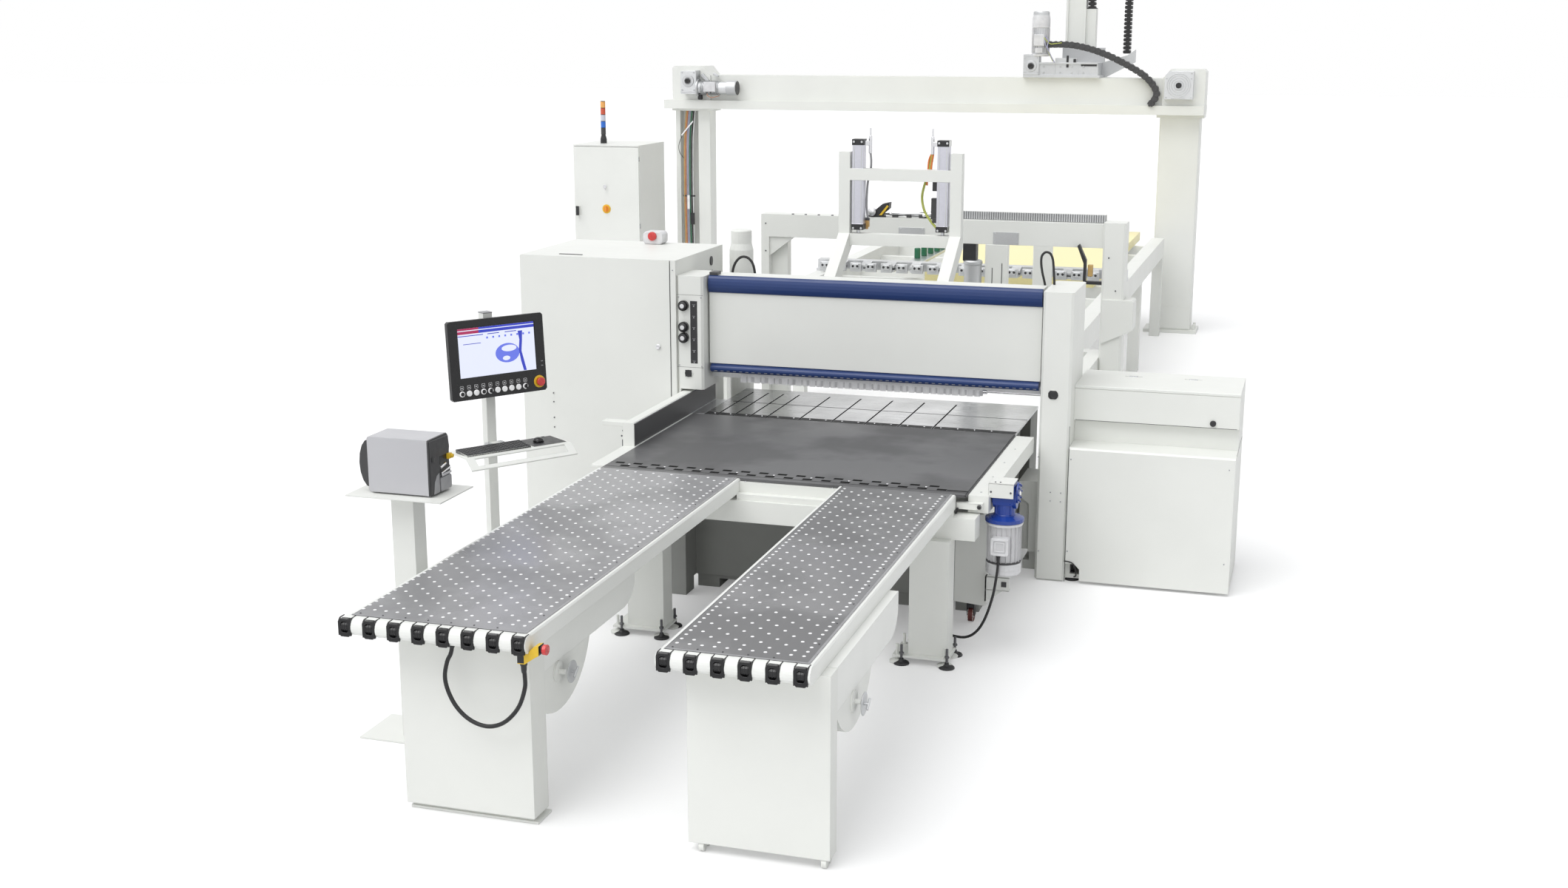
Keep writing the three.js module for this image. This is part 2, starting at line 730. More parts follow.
for (const [side, t, onCasters] of [["left", leftTable, false], ["right", rightTable, true]]) {
  place(side + "_table_frame", tableFrame(t), whitePaint());
  place(side + "_table_top", tablePlate(t), darkTop());
  place(side + "_edge_rollers", edgeRollers(t), blackPlastic());
  place(side + "_leg_panel", legPanel(t, onCasters), whitePaint());
  place(side + "_blower_drum", blowerDrum(t), whitePaint());
}

// Support frame: a cross beam on two columns with levelling feet

function levellingFoot(x, y, plateLow) {
  const pad = footPad.thick;
  const high = plateLow + footColumn.plate + footPad.stemRise;
  const profile = [
    [0, floor], [footPad.radius, floor], [footPad.radius, pad], [footPad.stem, pad + footPad.neck / 2],
    [footPad.stem, high], [0, high],
  ];
  return turned("z", profile, [x, y, 0], sides.round);
}

function footFrame(x0) {
  const x1 = x0 + footColumn.width;
  const y0 = footColumn.front;
  const y1 = y0 + footColumn.depth;
  const out = footColumn.plateReach;
  const low = footColumn.plateZ;
  const plate0 = x0 - footColumn.plateLeft;
  const plate1 = x1 + footColumn.plateRight;
  let solid = block(x0, x1, y0, y1, low, support.bottom + overrun);
  solid = join(solid, block(plate0, plate1, y0 - out, y1 + out, low, low + footColumn.plate));
  const inset = footPad.inset - out;
  for (const x of [plate0 + footPad.inset, plate1 - footPad.inset]) {
    for (const y of [y0 + inset, y1 - inset]) {
      solid = join(solid, levellingFoot(x, y, low));
    }
  }
  return solid;
}

function supportFrame() {
  const s = support;
  const crossbar = block(s.left, s.right, s.front, s.back, s.bottom, s.top);
  let solid = join(crossbar, footFrame(footColumn.leftX), footFrame(footColumn.rightX));
  const packY = (s.front + table.back) / 2;
  for (const x of [footColumn.leftX, footColumn.rightX]) {
    const pack = block(x, x + footColumn.width, s.front, packY, s.top - overrun, table.railBottom - seat);
    solid = join(solid, pack);
  }
  const x0 = leftTable.x1 + leftTable.rail + seat;
  const x1 = rightTable.x0 - rightTable.rail - seat;
  const plate = block(x0, x1, s.front + s.plateIn, s.back, s.top - overrun, s.plateTop);
  const angle = block(x0, x1, table.back - s.angle, table.back, s.plateTop - overrun, s.angleTop);
  return join(solid, plate, angle);
}

place("support_frame", supportFrame(), whitePaint());

// Apron plate with its castellated front joint

function apronPlate() {
  const low = tableTop - apron.thick;
  let plate = block(apron.x0, apron.x1, apron.front, apron.back, low, tableTop);
  const grooveLow = tableTop - comb.depth;
  for (let i = 0; i < comb.count; i += 1) {
    const x = apron.x0 + comb.first + comb.pitch * i;
    const nearY = apron.front + comb.near;
    const farY = apron.front + comb.far;
    const high = tableTop + overrun;
    const near = block(x + comb.length, x + 2 * comb.length, nearY, nearY + comb.width, grooveLow, high);
    const far = block(x, x + comb.length, farY, farY + comb.width, grooveLow, high);
    plate = cut(plate, near, far);
  }
  return plate;
}

place("apron_plate", apronPlate(), darkTop());

// Slotted steel saw table with the kerf that the blades come up through

function sawTablePlate() {
  const front = apron.back + seat;
  const low = tableTop - apron.thick;
  let plate = block(leftPost.x1 + seat, sawTable.x1, front, sawTable.back, low, tableTop);
  const grooveLow = tableTop - sawTable.slotDepth;
  const half = sawTable.slotWidth / 2;
  const places = [];
  for (let i = 0; i < sawTable.wideCount; i += 1) {
    places.push(sawTable.firstWide + sawTable.wide * i);
  }
  for (let i = 1; i <= sawTable.narrowCount; i += 1) {
    places.push(sawTable.firstWide - sawTable.narrow * i);
  }
  for (const x of places) {
    const groove = block(
      x - half, x + half, front - overrun, sawTable.slotBack, grooveLow, tableTop + overrun,
    );
    plate = cut(plate, groove);
  }
  const kerf = sawTable.kerf / 2;
  const inset = sawTable.narrow / 2;
  const kerfCut = block(
    leftPost.x1 + inset, sawTable.x1 + overrun, sawTable.kerfY - kerf, sawTable.kerfY + kerf,
    low - overrun, tableTop + overrun,
  );
  return cut(plate, kerfCut);
}

place("saw_table", sawTablePlate(), steel());

// Frame beam at the right of the apron, with the table's pin bracket in front

function sideBeamSolid() {
  const s = sideBeam;
  const front = support.back + seat;
  let solid = block(s.x0, s.x1, front, rightPost.front - seat, s.bottom, s.top);
  const t = s.tab;
  const tabX = rightTable.x1 + rightTable.rail + seat;
  const high = t.z + t.height;
  solid = join(solid, block(tabX, s.x1 - t.end, front - t.depth, front + s.wall, t.z, high));
  const knobX = s.x1 - t.end - t.depth / 2;
  const knobZ = t.z + t.height / 2;
  solid = join(solid, bar("y", t.knob, -t.knob, 0, [knobX, front - t.depth, knobZ], sides.small));
  const lug = s.lugWidth / 2;
  for (let y = front + s.lugPitch / 2; y < rightPost.front; y += s.lugPitch) {
    const line = [[s.x0 + overrun, s.bottom + lug], [s.x0 + overrun, s.top]];
    line.push([apron.x1 + seat, s.top], [apron.x1 + seat, s.top - 2 * s.wall]);
    solid = join(solid, prism("y", line, y - lug, y + lug));
  }
  return join(solid, hangingBox());
}

// The box under the beam, on a hanger, with a castor under its front end
function hangingBox() {
  const b = sideBox;
  const middle = (b.x0 + sideBeam.x0) / 2;
  const line = [
    [b.x0, b.bottom + b.fork], [b.x1 - b.fork, b.bottom], [b.x1, b.bottom + b.fork],
    [b.x1, b.top], [b.x0, b.top],
  ];
  const box = prism("y", line, b.front, b.back);
  const hanger = block(sideBeam.x0, b.x1, b.front, b.back, b.top - overrun, sideBeam.bottom + overrun);
  const wheelY = b.front + b.depth / 2;
  const half = b.castorWidth / 2;
  const wheel = bar("x", b.castor, -half, half, [middle, wheelY, b.castor], sides.round);
  const fork = block(
    middle - b.fork, middle + b.fork, wheelY - b.fork, wheelY + b.fork, b.castor, b.bottom + b.castor,
  );
  return join(box, hanger, wheel, fork);
}

place("side_beam", sideBeamSolid(), whitePaint());

// Fence at the left of the apron, on its shelf, which runs on through the left post

function sideFence() {
  const f = fence;
  const z0 = tableTop - apron.thick;
  const shelf = block(f.x0, apron.x0 - seat, f.shelfFront, f.back, z0, tableTop);
  const lane = block(f.x0, leftPost.x1, leftPost.front + seat, f.back, z0, tableTop);
  const wall = [
    [f.x0, z0 + f.bevel], [f.x1, z0 + f.bevel], [f.x1, f.top - f.bevel], [f.x1 - f.bevel, f.top],
    [f.x0 + f.bevel, f.top], [f.x0, f.top - f.bevel],
  ];
  return join(shelf, lane, prism("y", wall, f.front, f.back));
}

place("side_fence", sideFence(), whitePaint());

// Machine base: a shell under the tables with a channel along it

function machineBase() {
  const b = base;
  const top = tableTop - apron.thick - seat;
  const section = [
    [b.front, b.foot], [b.back, b.foot], [b.back, top], [b.channelBack, top],
    [b.channelBack, b.channelFloor], [b.channelFront, b.channelFloor], [b.channelFront, top],
    [b.front, top],
  ];
  let solid = prism("x", section, b.x0, b.x1);
  solid = join(
    solid,
    block(b.x0 + b.shoe, b.x1 - b.shoe, b.front + b.wall, b.back - b.shoe, floor, b.foot + overrun),
  );
  for (const x of [b.pocket.x, b.x0 + b.x1 - b.pocket.x - b.pocket.width]) {
    const back = b.front + b.wall + b.pocket.depth;
    const pocket = block(x, x + b.pocket.width, b.front, back, floor - overrun, b.pocket.height);
    solid = cut(solid, pocket);
  }
  const leg = b.leg;
  const line = [
    [leg.x, floor], [leg.x + leg.width, floor], [leg.x + leg.width, leg.top], [leg.x, leg.top],
  ];
  return join(solid, prism("y", line, b.front - leg.out, b.front - leg.out + leg.depth), legTie(leg));
}

// The plate that ties the front leg to the base
function legTie(leg) {
  const x0 = base.x0 + base.wall;
  return block(x0, leg.x + leg.width, base.front - leg.out, base.front + overrun, base.foot, leg.top);
}

place("machine_base", machineBase(), darkPaint());

// Posts

function postShell(p) {
  const bevel = post.bevel;
  const back = p.front + p.depth;
  const outline = bevelled(p.x0, p.x1, p.front, back, bevel);
  const body = prism("z", outline, p.plinth, p.top + post.capRise / 2);
  const foot = block(p.x0 + bevel, p.x1 - bevel, p.front + bevel, back - bevel, floor, p.plinth + overrun);
  const plugPlace = [p.x0 + p.plugX, p.front, post.plugZ];
  const plug = bar("y", post.plug, -post.plugProud, bevel, plugPlace, sides.round);
  return join(body, foot, plug);
}

// The fence and its shelf pass through the left post
function laneOpening() {
  const low = tableTop - apron.thick - seat;
  const back = fence.back + overrun;
  return block(
    fence.x0 - seat, leftPost.x1 + overrun, leftPost.front - overrun, back, low, fence.top + post.bevel,
  );
}

function basePanel() {
  const p = endPanel;
  const x1 = rightPost.x0 + overrun;
  const back = p.front + p.depth;
  const body = block(p.x, x1, p.front + p.recess, back, p.bottom, p.top);
  const step = [
    [p.x, p.top], [p.x, p.stepZ], [p.x + p.stepX, p.stepZ - p.slope],
    [p.x + p.stepX, p.bottom], [x1, p.bottom], [x1, p.top],
  ];
  const face = prism("y", step, p.front, p.front + p.recess + overrun);
  const foot = block(p.x + p.foot / 2, x1, p.front + p.recess, back - p.recess, floor, p.foot);
  const leg = block(
    p.x + p.stepX, x1, p.front + p.recess + seat, back - p.recess - seat, floor, p.bottom + overrun,
  );
  return join(body, face, foot, leg);
}

place("left_post", cut(postShell(leftPost), laneOpening()), whitePaint());
place("right_post", join(postShell(rightPost), basePanel()), whitePaint());

// Regulator knobs on the left post

function regulatorKnob(z) {
  const centre = [knob.x, leftPost.front - seat, z];
  const profile = [
    [0, 0], [knob.skirt, 0], [knob.skirt, -knob.skirtReach / 2], [knob.radius, -knob.skirtReach],
    [knob.radius, -knob.reach + knob.shaft], [knob.radius - knob.shaft, -knob.reach], [0, -knob.reach],
  ];
  return turned("y", profile.reverse(), centre, sides.round);
}

knob.z.forEach((z, i) => place("regulator_knob_" + (i + 1), regulatorKnob(z), blackPlastic()));

// Front cover with the blue band, and the moving pressure beam behind it

function frontCover() {
  const front = cover.front;
  const back = front + cover.depth;
  const inner = front + cover.wall;
  const bandTop = cover.capTop - cover.wall;
  const section = [
    [front, cover.bottom], [inner, cover.bottom], [inner, bandTop - cover.wall], [back, bandTop - cover.wall],
    [back, cover.capTop], [inner, cover.capTop], [inner - seat, cover.top], [front, cover.top],
  ];
  const x0 = leftPost.x1 + seat;
  const x1 = rightPost.x0 - seat;
  const low = lift.footZ - cover.bridge;
  const hanger = block(x0, x1, back - cover.wall, back, low, cover.capTop - cover.wall);
  const bridge = block(x0, x1, back - overrun, back + cover.bridgeDepth, low, lift.footZ - seat);
  return join(prism("x", section, cover.x0, cover.x1), hanger, bridge);
}

place("front_cover", frontCover(), whitePaint());

function blueBand() {
  const low = cover.top + seat;
  const high = cover.capTop - seat;
  const back = cover.front + cover.wall - 2 * seat;
  const middle = (low + high) / 2;
  const half = (high - low) / 2;
  const foot = back - cover.wall;
  const bulge = arc(
    foot, middle, cover.bandBulge, half, -Math.PI / 2, (-3 * Math.PI) / 2, cover.bandFacets,
  );
  return prism("x", [[back - seat, low], ...bulge, [back - seat, high]].reverse(), cover.x0, cover.x1);
}

place("blue_band", blueBand(), bluePaint());

function pressureBeam() {
  const shoe0 = sawTable.kerfY - beam.shoeGap;
  const shoe1 = sawTable.kerfY + beam.shoeGap;
  const web1 = sawTable.kerfY + beam.web;
  const section = [
    [beam.front, beam.bottom], [shoe0, beam.bottom], [shoe0, beam.bottom + beam.shoe],
    [shoe1, beam.bottom + beam.shoe], [shoe1, beam.bottom], [beam.back, beam.bottom], [beam.back, beam.top],
    [web1, beam.top], [web1, beam.webTop], [sawTable.kerfY, beam.webTop], [sawTable.kerfY, beam.top],
    [beam.front, beam.top],
  ];
  return prism("x", section, leftPost.x1 + seat, rightPost.x0 - seat);
}

place("pressure_beam", pressureBeam(), aluminium());

function safetyTube() {
  const y = tube.y;
  const body = bar(
    "x", tube.radius, cover.x0 + tube.inset, cover.x1 - tube.inset, [0, y, tube.z], sides.round,
  );
  const x0 = cover.x0 + tube.inset;
  const x1 = cover.x1 - tube.inset;
  return join(body, block(x0, x1, y - tube.rib, y + tube.rib, tube.z, cover.bottom - seat));
}

place("safety_tube", safetyTube(), bluePaint());

function stripCurtain() {
  const y0 = curtain.y;
  const railLow = curtain.top - curtain.railHeight;
  const rail = block(curtain.x0, cover.x1 - tube.inset, y0, beam.front - seat, railLow, curtain.top);
  const pitch = (curtain.x1 - curtain.x0) / curtain.strips;
  let solid = rail;
  for (let i = 0; i < curtain.strips; i += 1) {
    const x = curtain.x0 + pitch * i;
    const low = curtain.top - curtain.drop;
    const lead = (i % 2) * curtain.stripThick;
    const y = y0 + lead;
    solid = join(solid, block(x, x + pitch - curtain.gap, y, y + curtain.stripThick, low, curtain.top));
  }
  return solid;
}

place("strip_curtain", stripCurtain(), clearPlastic());

// Left cabinet and its door

function cabinetShell() {
  const c = cabinet;
  const outer = block(c.x0, c.shellX1, c.front + c.door + seat, c.back, floor, c.top);
  const jamb = block(c.x1 + c.doorGap, c.shellX1, c.front, c.front + 2 * c.door, floor, c.top);
  const inner = block(
    c.x0 + c.wall, c.x1 - c.wall, c.front - overrun, c.back - c.wall, c.bottom, c.top - c.wall,
  );
  return join(cut(join(outer, jamb), inner), extractionDuct());
}

// Upright round duct behind the cabinet, joined to it by a branch
function extractionDuct() {
  const d = extraction;
  const profile = [
    [0, floor], [d.radius, floor], [d.radius, d.shoulder], [d.neck, d.neckFrom], [d.neck, d.top - d.bevel],
    [d.neck - d.bevel, d.top], [0, d.top],
  ];
  const pipe = turned("z", profile, [d.x, d.y, floor], sides.fine);
  const back = cabinet.back;
  const x0 = cabinet.shellX1 - d.branchIn;
  return join(pipe, block(x0, d.x, back - overrun, back + d.branchDepth, d.branchLow, d.branchTop));
}

place("left_cabinet", cabinetShell(), whitePaint());

function cabinetDoor() {
  const c = cabinet;
  const outline = bevelled(c.x0, c.x1, c.doorGap, c.top, c.doorGap);
  const panel = prism("y", outline, c.front, c.front + c.door);
  const lockPlace = [c.x1 - c.lockIn, c.front, c.lockZ];
  const lock = bar("y", c.lock, -seat - post.plugProud, c.door / 2, lockPlace, sides.round);
  return join(panel, lock);
}

place("left_cabinet_door", cabinetDoor(), whitePaint());

// Right housing and its lid

function housingShell() {
  const h = housing;
  const wall = h.wall;
  const lidLow = h.top - lid.thick - seat;
  const recess = h.upperFront + h.recessDepth;
  const section = [
    [h.front, h.bottom], [h.back, h.bottom], [h.back, lidLow], [h.upperFront, lidLow],
    [h.upperFront, h.recessTop], [recess, h.recessTop], [recess, h.shelf],
    [h.front + h.shelfRound, h.shelf], [h.front, h.shelf - h.shelfRound],
  ];
  const inner = [
    [h.front + wall, h.bottom + wall], [h.back - wall, h.bottom + wall], [h.back - wall, lidLow + overrun],
    [recess + wall, lidLow + overrun], [recess + wall, h.shelf - wall], [h.front + wall, h.shelf - wall],
  ];
  const room = prism("x", inner, h.x0 + wall, h.x1 - wall);
  const mouthX = h.x0 + wall + overrun;
  const mouthBack = base.channelBack - wall;
  const mouth = block(h.x0 - overrun, mouthX, recess + wall, mouthBack, base.channelFloor, h.top + overrun);
  const notch = [
    [h.x0 - overrun, h.bottom - overrun], [h.x0 + h.cutWidth, h.bottom - overrun],
    [h.x0 + h.cutWidth, h.bottom + h.cutHeight - h.cutBevel],
    [h.x0 + h.cutWidth - h.cutBevel, h.bottom + h.cutHeight], [h.x0 - overrun, h.bottom + h.cutHeight],
  ];
  const corner = prism("y", notch, h.front - overrun, h.front + wall * 2);
  let shell = cut(prism("x", section, h.x0, h.x1), room, mouth, corner);
  const shoe = base.shoe;
  for (const x of [h.x0 + h.cutWidth, h.x1 - wall - shoe]) {
    for (const y of [h.front + wall * 2, h.back - wall - shoe]) {
      shell = join(shell, block(x, x + shoe, y, y + shoe, floor, h.bottom + overrun));
    }
  }
  return shell;
}

place("side_housing", housingShell(), whitePaint());

function housingLid() {
  const h = housing;
  const half = h.slotWidth / 2;
  const deep = h.slotDepth / 2;
  const y = h.back - lid.slotBack;
  let top = prism("x", bevelled(h.upperFront, h.back, h.top - lid.thick, h.top, lid.bevel), h.x0, h.x1);
  for (const slotIn of lid.slotIn) {
    const x = h.x0 + slotIn;
    top = cut(
      top, block(x - half, x + half, y - deep, y + deep, h.top - lid.thick - overrun, h.top + overrun),
    );
  }
  return top;
}

place("housing_lid", housingLid(), whitePaint());

// Saw carriage, lifting unit and blades, parked in the housing

function carriageBody() {
  const half = carriage.length / 2;
  const x = carriage.x;
  const y0 = base.channelFront + carriage.wheelWidth + seat;
  const y1 = base.channelBack - carriage.wheelWidth - seat;
  const low = carriage.bottom;
  let solid = block(x - half, x + half, y0, y1, low, low + carriage.height);
  const wheelZ = base.channelFloor + seat + carriage.wheel;
  for (const wx of [x - half + carriage.wheel, x + half - carriage.wheel]) {
    const centre = [wx, 0, wheelZ];
    const front = bar("y", carriage.wheel, y0 - carriage.wheelWidth, y0 + overrun, centre, sides.round);
    const back = bar("y", carriage.wheel, y1 - overrun, y1 + carriage.wheelWidth, centre, sides.round);
    solid = join(solid, front, back);
  }
  const guideY = sawTable.kerfY + unit.thick * 2 + seat;
  const guideHalf = unit.width / 2;
  return join(
    solid, block(x - guideHalf, x + guideHalf, guideY, guideY + unit.thick, low, carriage.guideTop),
  );
}

place("saw_carriage", carriageBody(), aluminium());

function sawUnit() {
  const x = carriage.x;
  const y0 = sawTable.kerfY + unit.thick;
  const y1 = y0 + unit.thick;
  const low = carriage.bottom + carriage.height + seat;
  const right = x + unit.width / 2;
  const line = [
    [x - unit.width / 2, low], [right, low], [right, scorer.z + scorer.hub],
    [x + scorer.ahead / 2, scorer.z + scorer.hub], [x + blade.hub, unit.top], [x - unit.width / 2, unit.top],
  ];
  const plate = prism("y", line, y0, y1);
  const tip = -blade.hubReach - unit.running;
  const root = y0 - sawTable.kerfY + overrun;
  const main = bar(
    "y", blade.bore - unit.running, tip, root, [x - blade.hub, sawTable.kerfY, blade.z], sides.round,
  );
  const scorerX = right - scorer.hub;
  const small = bar(
    "y", scorer.bore - unit.running, tip, root, [scorerX, sawTable.kerfY, scorer.z], sides.round,
  );
  return join(plate, main, small);
}

place("saw_unit", sawUnit(), aluminium());

// A toothed blade: each tooth rises along its back and drops at its face
function toothedBlade(b, x, reach) {
  const outline = [];
  for (let i = 0; i < b.teeth; i += 1) {
    const start = (2 * Math.PI * i) / b.teeth;
    const step = (2 * Math.PI) / b.teeth;
    for (const [turnShare, depthShare] of toothShares) {
      const radius = b.radius - b.tooth * depthShare;
      const angle = start + step * turnShare;
      outline.push([x + radius * Math.cos(angle), b.z + radius * Math.sin(angle)]);
    }
  }
  const half = b.thick / 2;
  const disc = prism("y", outline, sawTable.kerfY - half, sawTable.kerfY + half);
  const collar = bar("y", b.hub, -reach, reach, [x, sawTable.kerfY, b.z], sides.fine);
  const bore = bar("y", b.bore, -reach - overrun, reach + overrun, [x, sawTable.kerfY, b.z], sides.round);
  return cut(join(disc, collar), bore);
}

place("main_blade", toothedBlade(blade, carriage.x - blade.hub, blade.hubReach), steel());
place(
  "scoring_blade", toothedBlade(scorer, carriage.x + unit.width / 2 - scorer.hub, blade.hubReach),
  steel(),
);

// Worm gearbox and finned motor

function wormGearbox() {
  const g = gearbox;
  const half = g.body / 2;
  const wormZ = g.top - g.wormRadius - g.lug;
  const outline = bevelled(g.x - half, g.x + half, g.top - g.body, g.top, g.bevel);
  let solid = prism("y", outline, g.y - half, g.y + half);
  const centre = [g.x, g.y, 0];
  const neck = [
    [0, g.bottom], [g.flange, g.bottom], [g.flange, g.bottom + g.flangeThick],
    [g.neckRadius, g.bottom + 2 * g.flangeThick], [g.neckRadius, g.top - half], [0, g.top - half],
  ];
  solid = join(solid, turned("z", neck, centre, sides.fine));
  const side = turned("x", [
    [0, -half - g.sideReach], [g.sideRadius / 2, -half - g.sideReach], [g.sideRadius, -half],
    [g.sideRadius, half + g.sideReach], [g.sideRadius / 2, half + g.sideReach], [0, half + g.sideReach],
  ], [g.x, g.y, wormZ], sides.fine);
  solid = join(solid, side);
  const lug = block(sideBeam.x1 + seat, g.x, g.y - g.lug, g.y + g.lug, wormZ - g.lug, wormZ + g.lug);
  return join(solid, lug);
}

place("worm_gearbox", wormGearbox(), gearBlue());

function finnedMotor() {
  const m = motor;
  const top = gearbox.bottom - seat;
  const centre = [gearbox.x, gearbox.y, 0];
  const low = top - m.length;
  let solid = turned("z", [
    [0, low - m.cowl], [m.cowlRadius - m.fin, low - m.cowl], [m.cowlRadius, low - m.cowl + m.fin],
    [m.cowlRadius, low], [m.radius - m.fin, low], [m.radius - m.fin, top], [0, top],
  ], centre, sides.fine);
  for (let i = 0; i < m.fins; i += 1) {
    const angle = (2 * Math.PI * i) / m.fins;
    const fin = new THREE.BoxGeometry(m.fin * 2, m.finThick, m.length - m.fin * 2);
    fin.translate(m.radius - m.fin, 0, low + m.length / 2);
    fin.rotateZ(angle);
    fin.translate(gearbox.x, gearbox.y, 0);
    solid = join(solid, solidOf(fin));
  }
  const half = m.box / 2;
  const boxZ = low + m.length / 2;
  const face = gearbox.y - m.radius - m.boxDepth;
  const outline = bevelled(gearbox.x - half, gearbox.x + half, boxZ - half, boxZ + half, m.fin);
  return join(solid, prism("y", outline, face, gearbox.y));
}

place("table_motor", finnedMotor(), aluminium());

// A tube along hand-chosen points, with flat ends

function tubeAlong(points, radius, facets, steps) {
  const curve = new THREE.CatmullRomCurve3(
    points.map((p) => new THREE.Vector3(...p)), false, "centripetal",
  );
  const ring = arc(0, 0, radius, radius, 0, 2 * Math.PI, facets).slice(0, facets);
  const shape = new THREE.Shape(ring.map(([a, b]) => new THREE.Vector2(a, b)));
  return solidOf(new THREE.ExtrudeGeometry(shape, { steps, extrudePath: curve, bevelEnabled: false }));
}

// The motor's cable hangs from the terminal box and runs back to the machine base.
// Each point of its route is measured from the place where it leaves the box.
const cableStart = [
  gearbox.x - motor.cableIn,
  gearbox.y - motor.radius - motor.boxDepth / 2,
  gearbox.bottom - motor.length / 2 - motor.box / 2 - 2 * seat,
];
const cableRoute = [
  [0, 0, 0], [0, 0, -50], [-3, -3, -105], [-11, -5, -170], [-21, -3, -235], [-37, 3, -300], [-57, 13, -365],
  [-83, 29, -430], [-117, 53, -490], [-161, 87, -540], [-215, 131, -575], [-277, 189, -596],
  [-347, 261, -611], [-427, 349, -621], [-507, 449, -626], [-577, 559, -627],
];
const moved = (start) => ([x, y, z]) => [start[0] + x, start[1] + y, start[2] + z];
const cablePoints = cableRoute.map(moved(cableStart));
place("motor_cable", tubeAlong(cablePoints, cable.radius, cable.sides, cable.steps), blackPlastic());

// Emergency stop on the left table's front corner

// Middle of the box's right face, where the button's stem goes in
function stopFace() {
  return [stop.x + stop.width, stop.y, stop.z + (stop.mouthLow + stop.mouthHigh) / 2];
}

function stopBox() {
  const s = stop;
  const top = table.railBottom - seat;
  const line = [
    [s.x, s.z], [s.x + s.step, s.z], [s.x + s.wide, s.z + s.cornerLow], [s.x + s.width, s.z + s.mouthLow],
    [s.x + s.width, s.z + s.mouthHigh], [s.x + s.wide, s.z + s.cornerHigh], [s.x + s.narrow, s.z + s.neck],
    [leftTable.x1 + leftTable.rail + seat, top], [s.x, top],
  ];
  const body = prism("y", line, s.y - s.box / 2, s.y + s.box / 2);
  return cut(body, bar("x", s.stem + s.running, -s.boreIn, overrun, stopFace(), sides.round));
}

place("e_stop_box", stopBox(), yellowPlastic());

function mushroom(s) {
  const end = s.reach + s.capReach;
  return [
    [0, -s.stemIn], [s.stem, -s.stemIn], [s.stem, s.reach], [s.cap - s.bevel, s.reach],
    [s.cap, s.reach + s.bevel], [s.cap, end - s.bevel], [s.cap - s.bevel, end], [0, end],
  ];
}

function stopButton() {
  return turned("x", mushroom(stop), stopFace(), sides.round);
}

place("e_stop_button", stopButton(), redPlastic());

// The conduit loops from the box under the table and ends against the front rail.
// Each point of its route is measured from the box's lower corner.
const conduitRoute = [
  [0, 0, 0], [0, 0, -27], [1, 4, -67], [-5, 14, -128], [-37, 24, -215], [-83, 30, -280], [-137, 32, -325],
  [-199, 32, -346], [-261, 32, -340], [-321, 32, -311], [-372, 32, -259], [-406, 32, -190], [-417, 32, -124],
  [-403, 32, -55], [-384, 32, -16], [-376, 32, 10], [-374, 32, 32],
];
const conduitStart = [stop.x + conduit.in, stop.y, stop.z - seat];
const conduitPoints = conduitRoute.map(moved(conduitStart));
const conduitLast = conduitPoints[conduitPoints.length - 1];
conduitPoints.push([conduitLast[0], conduitLast[1], table.railBottom - 2 * seat]);
place(
  "e_stop_conduit", tubeAlong(conduitPoints, conduit.radius, conduit.sides, conduit.steps),
  blackPlastic(),
);

// Console: pole, monitor, stop button and keyboard tray, turned together

function turnedToOperator(solid) {
  const geometry = geometryOf(solid);
  geometry.rotateZ(desk.turn);
  geometry.translate(desk.x, desk.y, 0);
  return solidOf(geometry);
}

function consolePole() {
  const half = pole.size / 2;
  const y = pole.behind;
  const column = block(-half, half, y - half, y + half, desk.footThick, pole.top);
  const foot = desk.footSize / 2;
  const plate = block(-foot, foot, y - foot, y + foot, floor, desk.footThick);
  const armHalf = pole.armWidth / 2;
  const pivotY = screen.depth + seat + pole.pivot;
  const neck = pole.pivot / 2;
  const pivot = bar("x", pole.pivot, -armHalf, armHalf, [0, pivotY, screen.centre], sides.fine);
  const bracket = block(-armHalf, armHalf, pivotY, y, screen.centre - neck, screen.centre + neck);
  const arm = leaned(join(pivot, bracket));
  const trayLow = tray.z - tray.thick;
  const under = block(-tray.arm, tray.arm, -tray.depth / 2, y, trayLow - tray.arm, trayLow - seat);
  return join(column, plate, arm, under);
}

place("console_post", turnedToOperator(consolePole()), whitePaint());

function leaned(solid) {
  const geometry = geometryOf(solid);
  geometry.translate(0, 0, -screen.centre);
  geometry.rotateX(-desk.lean);
  geometry.translate(0, 0, screen.centre);
  return solidOf(geometry);
}

const screenStopX = () => screen.width * screen.stopShare;
const screenStopZ = () => screen.centre - screen.height / 2 + screen.height * screen.stopLiftShare;

function monitor() {
  const w = screen.width / 2;
  const h = screen.height / 2;
  const z = screen.centre;
  const face = 0;
  let solid = prism("y", bevelled(-w, w, z - h, z + h, screen.bezel), face, screen.depth / 2);
  const in0 = screen.depth;
  const hump = bevelled(-w + in0, w - in0, z - h + in0, z + h - in0, screen.bezel);
  solid = join(solid, prism("y", hump, face, screen.depth));
  const glassHalf = w * screen.glassShare;
  const glassTop = z + h - screen.height * screen.glassTopShare;
  const glassLow = glassTop - screen.height * screen.glassHeightShare;
  const glass = block(-glassHalf, glassHalf, face - overrun, screen.recess, glassLow, glassTop);
  const hole = [screenStopX(), face, screenStopZ()];
  const bore = bar("y", stop.stem + stop.running, -overrun, stop.boreIn, hole, sides.round);
  solid = cut(solid, glass, bore);
  const keyZ = z - h + screen.height * screen.keyLiftShare;
  for (let i = 0; i < screen.keys; i += 1) {
    const keyShare = (i + screen.middleShare) / screen.keys - screen.middleShare;
    const x = screen.width * (screen.keySpanShare * keyShare - screen.keySideShare);
    solid = join(
      solid, bar("y", screen.keyRadius, -screen.recess, screen.recess, [x, face, keyZ], sides.small),
    );
  }
  return solid;
}

